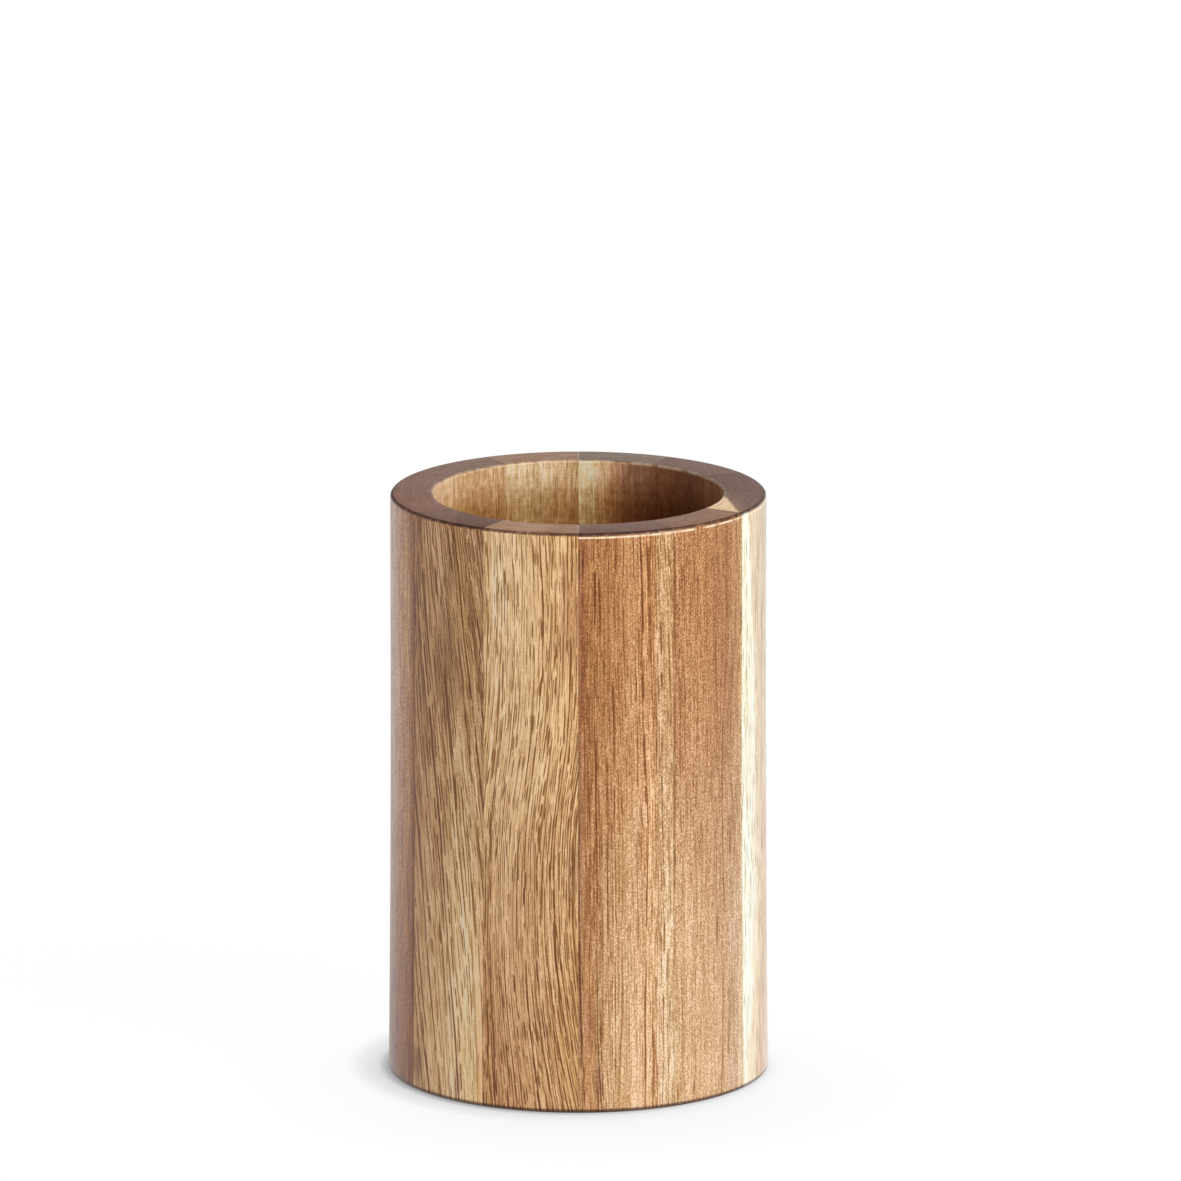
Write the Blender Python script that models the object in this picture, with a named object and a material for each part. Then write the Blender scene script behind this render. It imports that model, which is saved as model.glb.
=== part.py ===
"""A coopered wooden cup: staves of acacia glued edge to edge into a ring, turned round inside and out,
with a round base board let into a seat cut in the foot of the staves.

Metres, +Z up. The origin is on the cup's axis, in the plane that it stands on.
The joint between the first and the last stave faces -Y.
"""

import math

import bmesh
import bpy
from mathutils import Matrix, Vector

# Driving sizes of the turned ring
HEIGHT = 0.110
RIM_RADIUS = 0.035
WALL = 0.008
BORE_RADIUS = RIM_RADIUS - WALL
# The side is straight at the rim and swells a little towards the foot
FOOT_SWELL = 0.0006
SWELL_POWER = 2.5
SIDE_STEPS = 8

# Edges eased with abrasive after turning
RIM_OUTER_EASE = 0.0008
RIM_BORE_EASE = 0.0005
FOOT_EASE = 0.0005
EASE_STEPS = 4

# The staves and the glue between them
STAVE_COUNT = 12
GLUE_LINE = 0.0003
FACETS_PER_STAVE = 8

# The base board and the seat that it is glued into
BASE_THICKNESS = 0.007
BASE_RECESS = 0.001
BASE_LEDGE = 0.002
SEAT_CHAMFER = 0.0004
BASE_EASE = 0.0004
BASE_EASE_STEPS = 2
BASE_FACETS = STAVE_COUNT * FACETS_PER_STAVE

# Turned faces that meet at less than this angle are shaded as one
SMOOTH_DEGREES = 30

# One row for each stave, counted from the front joint towards +X: name, sRGB colour, roughness
STAVE_WOODS = (
    ("red_brown_heartwood", "B98450", 0.50),
    ("russet_heartwood", "B8824F", 0.50),
    ("sap_edged_wood", "E6D2B4", 0.48),
    ("walnut_brown_heartwood", "9C6F49", 0.52),
    ("golden_heartwood", "C39A68", 0.50),
    ("straw_heartwood", "CBAA7C", 0.50),
    ("amber_heartwood", "B58B5A", 0.50),
    ("chestnut_heartwood", "A9784B", 0.50),
    ("honey_heartwood", "C19561", 0.50),
    ("plum_brown_heartwood", "A07A62", 0.52),
    ("slant_grained_heartwood", "B58E60", 0.50),
    ("pale_golden_heartwood", "CBA473", 0.50),
)
BASE_WOOD = ("base_board_heartwood", "AF8355", 0.55)


def clear_scene():
    for obj in list(bpy.data.objects):
        bpy.data.objects.remove(obj)


def linear(hex_colour):
    """The linear RGBA of an sRGB hex colour."""
    parts = [int(hex_colour[i : i + 2], 16) / 255 for i in (0, 2, 4)]
    return [(c / 12.92 if c <= 0.04045 else ((c + 0.055) / 1.055) ** 2.4) for c in parts] + [1.0]


def wood(name, hex_colour, roughness):
    """Oiled wood: a matt dielectric in the wood's own colour."""
    material = bpy.data.materials.new(name)
    material.use_nodes = True
    shader = material.node_tree.nodes["Principled BSDF"]
    shader.inputs["Base Color"].default_value = linear(hex_colour)
    shader.inputs["Roughness"].default_value = roughness
    shader.inputs["Metallic"].default_value = 0.0
    return material


def side_radius(z):
    """Outer radius of the turned side at height z."""
    return RIM_RADIUS + FOOT_SWELL * (1 - z / HEIGHT) ** SWELL_POWER


def quarter(centre_r, centre_z, ease, start_degrees):
    """Points of a quarter circle in the r, z plane, anticlockwise from start_degrees."""
    angles = [math.radians(start_degrees + 90 * i / EASE_STEPS) for i in range(EASE_STEPS + 1)]
    return [(centre_r + ease * math.cos(a), centre_z + ease * math.sin(a)) for a in angles]


def stave_profile():
    """The ring's section in the r, z plane, anticlockwise from the foot: side, rim, bore, seat."""
    seat_radius = BORE_RADIUS + BASE_LEDGE
    seat_top = BASE_RECESS + BASE_THICKNESS + GLUE_LINE
    foot_radius = side_radius(FOOT_EASE)
    points = quarter(foot_radius - FOOT_EASE, FOOT_EASE, FOOT_EASE, -90)
    side_top = HEIGHT - RIM_OUTER_EASE
    for step in range(1, SIDE_STEPS):
        z = FOOT_EASE + (side_top - FOOT_EASE) * step / SIDE_STEPS
        points.append((side_radius(z), z))
    points += quarter(side_radius(side_top) - RIM_OUTER_EASE, side_top, RIM_OUTER_EASE, 0)
    points += quarter(BORE_RADIUS + RIM_BORE_EASE, HEIGHT - RIM_BORE_EASE, RIM_BORE_EASE, 90)
    points += [(BORE_RADIUS, seat_top), (seat_radius, seat_top)]
    points += [(seat_radius, SEAT_CHAMFER), (seat_radius + SEAT_CHAMFER, 0)]
    return points


def stave_mesh():
    """One stave, centred on -Y: the section revolved through its angle, then cut to two joint planes."""
    pitch = math.tau / STAVE_COUNT
    bm = bmesh.new()
    start = Matrix.Rotation(-pitch / 2, 3, "Z")
    verts = [bm.verts.new(start @ Vector((0, -r, z))) for r, z in stave_profile()]
    edges = [bm.edges.new((a, b)) for a, b in zip(verts, verts[1:] + verts[:1])]
    bmesh.ops.spin(
        bm,
        geom=verts + edges,
        axis=(0, 0, 1),
        cent=(0, 0, 0),
        angle=pitch,
        steps=FACETS_PER_STAVE,
    )
    for side in (-1, 1):
        # The joint plane holds the axis; the cut lies half a glue line inside it
        normal = Matrix.Rotation(side * pitch / 2, 3, "Z") @ Vector((side, 0, 0))
        cut = bmesh.ops.bisect_plane(
            bm,
            geom=bm.verts[:] + bm.edges[:] + bm.faces[:],
            plane_co=normal * (-GLUE_LINE / 2),
            plane_no=normal,
            clear_outer=True,
        )
        rim = [item for item in cut["geom_cut"] if isinstance(item, bmesh.types.BMEdge)]
        bmesh.ops.edgeloop_fill(bm, edges=rim)
    bmesh.ops.recalc_face_normals(bm, faces=bm.faces)
    mesh = bpy.data.meshes.new("stave")
    bm.to_mesh(mesh)
    bm.free()
    return mesh


def shade(mesh):
    """Turned faces smooth, arrises and joint faces sharp."""
    mesh.shade_smooth()
    mesh.set_sharp_from_angle(angle=math.radians(SMOOTH_DEGREES))


def place(name, mesh, material, turn=0.0, height=0.0):
    """An object of its own for one piece, with its own material on a mesh that others may share."""
    obj = bpy.data.objects.new(name, mesh)
    bpy.context.scene.collection.objects.link(obj)
    if not mesh.materials:
        mesh.materials.append(None)
    obj.material_slots[0].link = "OBJECT"
    obj.material_slots[0].material = material
    obj.rotation_euler = (0, 0, turn)
    obj.location = (0, 0, height)
    return obj


def build_staves():
    """The ring: each stave is the same solid, turned on to the next joint."""
    mesh = stave_mesh()
    shade(mesh)
    pitch = math.tau / STAVE_COUNT
    for index in range(STAVE_COUNT):
        material = wood(*STAVE_WOODS[index % len(STAVE_WOODS)])
        place(f"stave_{index + 1:02d}", mesh, material, turn=(index + 0.5) * pitch)


def build_base():
    """The base board: a disc with eased arrises, glued up against the ledge and clear of the ground."""
    radius = BORE_RADIUS + BASE_LEDGE - GLUE_LINE
    bm = bmesh.new()
    bmesh.ops.create_cone(
        bm,
        cap_ends=True,
        segments=BASE_FACETS,
        radius1=radius,
        radius2=radius,
        depth=BASE_THICKNESS,
    )
    arrises = [edge for edge in bm.edges if edge.verts[0].co.z == edge.verts[1].co.z]
    bmesh.ops.bevel(
        bm,
        geom=arrises,
        offset=BASE_EASE,
        segments=BASE_EASE_STEPS,
        profile=0.5,
        affect="EDGES",
    )
    bmesh.ops.recalc_face_normals(bm, faces=bm.faces)
    mesh = bpy.data.meshes.new("base_disc")
    bm.to_mesh(mesh)
    bm.free()
    shade(mesh)
    place("base_disc", mesh, wood(*BASE_WOOD), height=BASE_RECESS + BASE_THICKNESS / 2)


clear_scene()
build_staves()
build_base()
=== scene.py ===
"""The looks of a coopered acacia cup: twelve glued staves, turned inside and out, and a base board.

Metres, +Z up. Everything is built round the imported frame, which it never moves.
"""

import math

import bpy
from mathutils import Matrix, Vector


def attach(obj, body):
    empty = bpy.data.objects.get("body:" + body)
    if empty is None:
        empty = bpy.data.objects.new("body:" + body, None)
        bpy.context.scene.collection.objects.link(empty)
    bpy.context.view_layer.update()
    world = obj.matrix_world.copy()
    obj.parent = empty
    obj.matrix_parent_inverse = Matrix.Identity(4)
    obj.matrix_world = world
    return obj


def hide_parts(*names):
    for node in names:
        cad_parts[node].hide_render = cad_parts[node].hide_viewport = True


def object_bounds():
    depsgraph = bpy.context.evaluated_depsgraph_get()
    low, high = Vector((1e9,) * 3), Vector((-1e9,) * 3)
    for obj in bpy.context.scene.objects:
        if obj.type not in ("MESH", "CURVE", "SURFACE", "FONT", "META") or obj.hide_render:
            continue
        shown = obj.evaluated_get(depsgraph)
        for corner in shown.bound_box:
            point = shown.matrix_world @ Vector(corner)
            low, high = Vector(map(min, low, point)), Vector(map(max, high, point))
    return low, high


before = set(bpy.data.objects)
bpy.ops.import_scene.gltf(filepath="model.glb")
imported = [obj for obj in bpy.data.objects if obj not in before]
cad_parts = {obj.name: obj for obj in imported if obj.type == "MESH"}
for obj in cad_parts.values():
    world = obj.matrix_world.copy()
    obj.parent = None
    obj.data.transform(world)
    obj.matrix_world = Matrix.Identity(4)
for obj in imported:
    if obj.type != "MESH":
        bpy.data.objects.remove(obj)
cad_low, cad_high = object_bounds()

# The camera
# A long lens from 2.6 m looks down on the cup, so that the rim is a narrow ellipse and the side
# hardly narrows towards the foot. The middle of the picture falls near the top of the axis.

CAMERA_DISTANCE = 2.6
CAMERA_ELEVATION = math.radians(13.93)
CAMERA_AIM = Vector((0.00227, 0, 0.09112))
ORBIT_CENTRE = Vector((0, 0, 0.055))
SENSOR_WIDTH = 36.0
LENS = 424.2

orbit = Vector((0, -math.cos(CAMERA_ELEVATION), math.sin(CAMERA_ELEVATION)))
camera = bpy.data.objects.new("camera", bpy.data.cameras.new("camera"))
camera.data.sensor_width = SENSOR_WIDTH
camera.data.lens = LENS
camera.location = ORBIT_CENTRE + orbit * CAMERA_DISTANCE
camera.rotation_euler = (CAMERA_AIM - camera.location).to_track_quat("-Z", "Y").to_euler()
bpy.context.scene.collection.objects.link(camera)
bpy.context.scene.camera = camera

# The staves
# Twelve bevelled sticks of oiled acacia, glued edge to edge into a ring and then turned on a lathe,
# so the outside is sanded smooth, the rim shows end grain, and the bore keeps faint turning rings.

MM = 0.001
STAVE_COUNT = 12
PITCH = math.tau / STAVE_COUNT
FOOT_RADIUS = (cad_high.x - cad_low.x) / 2
HEIGHT = cad_high.z
RIM_RADIUS = 34.98 * MM
SWELL_POWER = 2.5
BORE_RADIUS = 27 * MM
RIM_OUTER_EASE = 0.8 * MM
RIM_BORE_EASE = 0.5 * MM
FOOT_EASE = 0.5 * MM
SEAT_RADIUS = 29 * MM
SEAT_TOP = 8.05 * MM
SEAT_CHAMFER = 0.4 * MM
JOINT_WIDTH = 0.07 * MM
EASE_STEPS = 8
SIDE_STEPS = 60
ARC_STEPS = 30
# The boring tool left rings in the bore, up to the sanded band under the rim
RING_PITCH = 2.4 * MM
RING_DEPTH = 0.03 * MM
RING_POINTS = 6
SANDED_BAND = 2.3 * MM
SANDED_DEPTH = 0.05 * MM


def quarter(centre_r, centre_z, ease, start_degrees):
    """Points of a quarter circle in the r, z plane, anticlockwise from start_degrees."""
    angles = [math.radians(start_degrees + 90 * i / EASE_STEPS) for i in range(EASE_STEPS + 1)]
    return [(centre_r + ease * math.cos(a), centre_z + ease * math.sin(a)) for a in angles]


def side_radius(z):
    """Outer radius of the turned side at height z: straight at the rim, swelling towards the foot."""
    return RIM_RADIUS + (FOOT_RADIUS - RIM_RADIUS) * (1 - z / HEIGHT) ** SWELL_POWER


def bore_points(top, bottom):
    """The bore's wall from top to bottom: a sanded band under the rim, then the tool's shallow rings."""
    points = [(BORE_RADIUS, top), (BORE_RADIUS + SANDED_DEPTH, top - SANDED_BAND)]
    start = top - SANDED_BAND
    count = int((start - bottom) / RING_PITCH * RING_POINTS)
    for i in range(1, count):
        z = start + (bottom - start) * i / count
        wave = 0.5 - 0.5 * math.cos(math.tau * (start - z) / RING_PITCH)
        points.append((BORE_RADIUS + RING_DEPTH * wave, z))
    return points


def wall_section(inset=0.0):
    """The ring's closed section in the r, z plane, anticlockwise from the foot."""
    side_top = HEIGHT - RIM_OUTER_EASE
    foot = side_radius(FOOT_EASE)
    points = quarter(foot - FOOT_EASE, FOOT_EASE, FOOT_EASE - inset, -90)
    for step in range(1, SIDE_STEPS):
        z = FOOT_EASE + (side_top - FOOT_EASE) * step / SIDE_STEPS
        points.append((side_radius(z) - inset, z))
    points += quarter(side_radius(side_top) - RIM_OUTER_EASE, side_top, RIM_OUTER_EASE - inset, 0)
    bore_top = HEIGHT - RIM_BORE_EASE
    points += quarter(BORE_RADIUS + RIM_BORE_EASE, bore_top, RIM_BORE_EASE - inset, 90)[:-1]
    if inset:
        points.append((BORE_RADIUS + inset, bore_top))
    else:
        points += bore_points(bore_top, SEAT_TOP)
    points += [(BORE_RADIUS + inset, SEAT_TOP), (SEAT_RADIUS, SEAT_TOP)]
    points += [(SEAT_RADIUS, SEAT_CHAMFER), (SEAT_RADIUS + SEAT_CHAMFER, inset)]
    return points


def section_object(name, points):
    """An object whose mesh is one face: the section, standing in the XZ plane at +X."""
    mesh = bpy.data.meshes.new(name)
    mesh.from_pydata([(r, 0, z) for r, z in points], [], [range(len(points))])
    obj = bpy.data.objects.new(name, mesh)
    bpy.context.scene.collection.objects.link(obj)
    return obj


def add(tree, kind, sockets=(), operation=None, **settings):
    """Adds a node, a shader node where its kind has no prefix, with its settings and links.

    A socket, by place or by name, is given a value, or a node or an output to link from.
    """
    node = tree.nodes.new(kind if "Node" in kind else "ShaderNode" + kind)
    if operation:
        node.operation = operation
    for name, value in settings.items():
        setattr(node, name, value)
    for key, value in sockets.items() if isinstance(sockets, dict) else enumerate(sockets):
        if isinstance(value, bpy.types.Node):
            value = value.outputs[0]
        if isinstance(value, bpy.types.NodeSocket):
            tree.links.new(value, node.inputs[key])
        else:
            node.inputs[key].default_value = value
    return node


def new_tree(kind, name, inputs, outputs):
    """A node group with its sockets, given as (name, type) or (name, type, default)."""
    tree = bpy.data.node_groups.new(name, kind)
    for direction, sockets in (("INPUT", inputs), ("OUTPUT", outputs)):
        for label, sort, *default in sockets:
            socket = tree.interface.new_socket(label, in_out=direction, socket_type="NodeSocket" + sort)
            if default:
                socket.default_value = default[0]
    return tree, tree.nodes.new("NodeGroupInput"), tree.nodes.new("NodeGroupOutput")


def turned_wall_tree():
    """Geometry nodes: the section swept round +Z from one angle through another, with its two ends closed."""
    tree, given, result = new_tree(
        "GeometryNodeTree",
        "turned_wall",
        [
            ("Section", "Geometry"), ("Start Angle", "Float"), ("Swept Angle", "Float"),
            ("Arc Steps", "Int"), ("Closed Ends", "Bool"), ("Material", "Material"),
        ],
        [("Geometry", "Geometry")],
    )
    section, start, swept, steps, closed, material = given.outputs[:6]
    # A grid with one column for each step of the arc; a column closes on its own first point
    size = add(tree, "GeometryNodeAttributeDomainSize", (section,), component="MESH")
    columns = add(tree, "Math", (steps, 1.0), "ADD")
    rows = add(tree, "Math", (size, 1.0), "ADD")
    grid = add(tree, "GeometryNodeMeshGrid", {"Vertices X": columns, "Vertices Y": rows})
    index = add(tree, "GeometryNodeInputIndex")
    across = add(tree, "Math", (index, rows), "DIVIDE")
    column = add(tree, "Math", (across,), "FLOOR")
    along = add(tree, "Math", (index, rows), "MODULO")
    row = add(tree, "Math", (along, size), "MODULO")
    here = add(tree, "GeometryNodeInputPosition")
    sampled = {"Geometry": section, "Value": here, "Index": row}
    point = add(tree, "GeometryNodeSampleIndex", sampled, data_type="FLOAT_VECTOR")
    share = add(tree, "Math", (column, steps), "DIVIDE")
    turn = add(tree, "Math", (share, swept, start), "MULTIPLY_ADD")
    place = add(tree, "VectorRotate", {"Vector": point, "Angle": turn}, rotation_type="Z_AXIS")
    wall = add(tree, "GeometryNodeSetPosition", {"Geometry": grid, "Position": place})
    # The section itself closes the two ends, turned over at the far one
    end = add(tree, "Math", (swept, start), "ADD")
    first = add(tree, "CombineXYZ", {"Z": start})
    last = add(tree, "CombineXYZ", {"Z": end})
    near = add(tree, "GeometryNodeTransform", {"Geometry": section, "Rotation": first})
    far = add(tree, "GeometryNodeTransform", {"Geometry": section, "Rotation": last})
    far = add(tree, "GeometryNodeFlipFaces", {"Mesh": far})
    joined = add(tree, "GeometryNodeJoinGeometry")
    for part in (near, far):
        tree.links.new(part.outputs[0], joined.inputs[0])
    ends = add(tree, "GeometryNodeSwitch", {"Switch": closed, "True": joined}, input_type="GEOMETRY")
    joined = add(tree, "GeometryNodeJoinGeometry")
    for part in (wall, ends):
        tree.links.new(part.outputs[0], joined.inputs[0])
    welded = add(tree, "GeometryNodeMergeByDistance", {"Geometry": joined, "Distance": WELD_DISTANCE})
    real = add(tree, "GeometryNodeRealizeInstances", {"Geometry": welded})
    finished = add(tree, "GeometryNodeSetMaterial", {"Geometry": real, "Material": material})
    tree.links.new(finished.outputs[0], result.inputs[0])
    return tree


WELD_DISTANCE = 0.001 * MM
# Faces that meet at more than this keep a crisp edge
SHARP_ANGLE = math.radians(35)


def sweep(name, section, tree, start, swept, steps, material, closed=True):
    """The plain mesh that the tree makes of a section, as an object of its own at the origin."""
    modifier = section.modifiers.new("turned_wall", "NODES")
    modifier.node_group = tree
    values = {
        "Start Angle": start, "Swept Angle": swept, "Arc Steps": steps, "Closed Ends": closed,
        "Material": material,
    }
    for item in tree.interface.items_tree:
        if item.in_out == "INPUT" and item.name in values:
            modifier[item.identifier] = values[item.name]
    graph = bpy.context.evaluated_depsgraph_get()
    mesh = bpy.data.meshes.new_from_object(section.evaluated_get(graph))
    section.modifiers.remove(modifier)
    mesh.name = name
    mesh.shade_smooth()
    mesh.set_sharp_from_angle(angle=SHARP_ANGLE)
    obj = bpy.data.objects.new(name, mesh)
    bpy.context.scene.collection.objects.link(obj)
    return obj


def linear(hex_colour):
    """The linear RGBA of an sRGB hex colour."""
    parts = [int(hex_colour[i : i + 2], 16) / 255 for i in (0, 2, 4)]
    return [(c / 12.92 if c <= 0.04045 else ((c + 0.055) / 1.055) ** 2.4) for c in parts] + [1.0]


# From here to the staves' table, lengths are in millimetres on a stave: across from its middle, and up
# from the foot
FACE_RADIUS = 35.3
RIM_MIDDLE = 31.0
BORE_FACE = 27.0
HALF_STAVE = 9.1
# The furthest that the grain leans to either side is half this
LEAN_SPAN = 40.0
RING_LOW, RING_HIGH = -14.0, 14.0
# A patch goes through the whole wall
PATCH_DEPTH = 100
# What a full pore leaves of a tone, and the dark line at a rim's roll or at the foot (at the foot partly
# dirt, partly painted contact shadow), in linear RGB
PORE_TINT = (0.33, 0.20, 0.09)
DARK_EDGE_TINT = (0.24, 0.18, 0.17)
# The colour of the painted highlight on the eased edges of the rim and on the bore's lip
HIGHLIGHT_TONE = "F3DCBC"
LIGHTEST = 0.8
OIL_FILM = 0.4
PORE_DEPTH = 0.05


def grain_space_tree():
    """Shader group: a stave's own millimetres turned to its growth rings (Rings) and its fibres (Grain)."""
    tree, given, result = new_tree(
        "ShaderNodeTree",
        "acacia_grain_space",
        [
            ("Stave", "Vector"), ("Left Lean", "Float"), ("Right Lean", "Float"), ("Ring Drift", "Float"),
            ("Ring Turn", "Float"), ("Waver", "Float"), ("Seed", "Float"),
        ],
        [("Rings", "Vector"), ("Grain", "Vector")],
    )
    stave, left_lean, right_lean, drift, ring_turn, amount, seed = given.outputs[:7]
    place = add(tree, "VectorMath", (stave, (1 / 14, 1 / 14, 1 / 34), seed), "MULTIPLY_ADD")
    waver = add(tree, "TexNoise", {"Vector": place, "Scale": 1.0, "Detail": 2.5})
    waver = add(tree, "VectorMath", (waver.outputs["Color"], (0.5, 0.5, 0.5)), "SUBTRACT")
    waver = add(tree, "VectorMath", (waver, (2.0, 2.0, 0.0)), "MULTIPLY")
    waver = add(tree, "VectorMath", {0: waver, "Scale": amount}, "SCALE")
    bent = add(tree, "VectorMath", (stave, waver), "ADD")
    bent = add(tree, "VectorMath", (bent, (0.0, FACE_RADIUS, 0.0)), "ADD")
    across = add(tree, "SeparateXYZ", (stave,))
    side = {"Value": across, "From Min": -HALF_STAVE, "From Max": HALF_STAVE}
    side = add(tree, "MapRange", side)
    lean = add(tree, "Mix", {"Factor": side, "A": left_lean, "B": right_lean})
    for label, shift in (("Rings", drift), ("Grain", lean)):
        shift = add(tree, "CombineXYZ", {"X": shift})
        moved = add(tree, "VectorMath", (bent, shift), "SUBTRACT")
        turned = {"Vector": moved, "Angle": ring_turn}
        turned = add(tree, "VectorRotate", turned, rotation_type="Z_AXIS")
        tree.links.new(turned.outputs[0], result.inputs[label])
    return tree


def vein_tree():
    """Shader group: adds one dark or light line that follows the grain, broken into dashes, to a shade."""
    tree, given, result = new_tree(
        "ShaderNodeTree",
        "acacia_vein",
        [
            ("Shade", "Float"), ("Grain", "Vector"), ("Place", "Float"), ("Half Width", "Float"),
            ("Low", "Float"), ("High", "Float"), ("Strength", "Float"),
        ],
        [("Shade", "Float")],
    )
    shade, grain, place, half_width, low, high, strength = given.outputs[:7]
    parts = add(tree, "SeparateXYZ", (grain,))
    away = add(tree, "Math", (parts.outputs["X"], place), "SUBTRACT")
    away = add(tree, "Math", (away,), "ABSOLUTE")
    core = add(tree, "Math", (half_width, 0.4), "MULTIPLY")
    amount = {"Value": away, "From Min": half_width, "From Max": core}
    amount = add(tree, "MapRange", amount, interpolation_type="SMOOTHSTEP")
    for edge, inward in ((low, 1.0), (high, -1.0)):
        far = add(tree, "Math", (parts.outputs["Z"], edge), "SUBTRACT")
        far = add(tree, "Math", (far, inward), "MULTIPLY")
        within = {"Value": far, "From Min": 0.0, "From Max": 3.0}
        within = add(tree, "MapRange", within, interpolation_type="SMOOTHSTEP")
        amount = add(tree, "Math", (amount, within), "MULTIPLY")
    place = add(tree, "CombineXYZ", {"X": place})
    place = add(tree, "VectorMath", (grain, (0.6, 0.2, 1 / 4), place), "MULTIPLY_ADD")
    broken = add(tree, "TexNoise", {"Vector": place, "Scale": 1.0, "Detail": 2.0})
    broken = {"Value": broken, "From Min": 0.34, "From Max": 0.6, "To Min": 0.15}
    broken = add(tree, "MapRange", broken)
    amount = add(tree, "Math", (amount, broken), "MULTIPLY")
    shade = add(tree, "Math", (amount, strength, shade), "MULTIPLY_ADD")
    tree.links.new(shade.outputs[0], result.inputs[0])
    return tree


def patch_tree():
    """Shader group: blends one soft-edged patch of another tone into a stave, drawn out along the grain."""
    tree, given, result = new_tree(
        "ShaderNodeTree",
        "acacia_patch",
        [
            ("Tone", "Color"), ("Place", "Vector"), ("Centre", "Vector"), ("Reach", "Vector"),
            ("Patch Tone", "Color"), ("Strength", "Float"),
        ],
        [("Tone", "Color")],
    )
    tone, place, centre, reach, patch_tone, strength = given.outputs[:6]
    away = add(tree, "VectorMath", (place, centre), "SUBTRACT")
    away = add(tree, "VectorMath", (away, reach), "DIVIDE")
    away = add(tree, "VectorMath", (away,), "LENGTH").outputs["Value"]
    ragged = add(tree, "VectorMath", (place, (1.1, 0.0, 1 / 14)), "MULTIPLY")
    ragged = add(tree, "TexNoise", {"Vector": ragged, "Scale": 1.0, "Detail": 2.0})
    away = add(tree, "Math", (ragged, 1.4, away), "MULTIPLY_ADD")
    inside = {"Value": away, "From Min": 1.9, "From Max": 1.0, "To Max": strength}
    inside = add(tree, "MapRange", inside, interpolation_type="SMOOTHSTEP")
    tone = add(tree, "Mix", {"Factor": inside, 6: tone, 7: patch_tone}, data_type="RGBA")
    tree.links.new(tone.outputs[2], result.inputs[0])
    return tree


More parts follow.
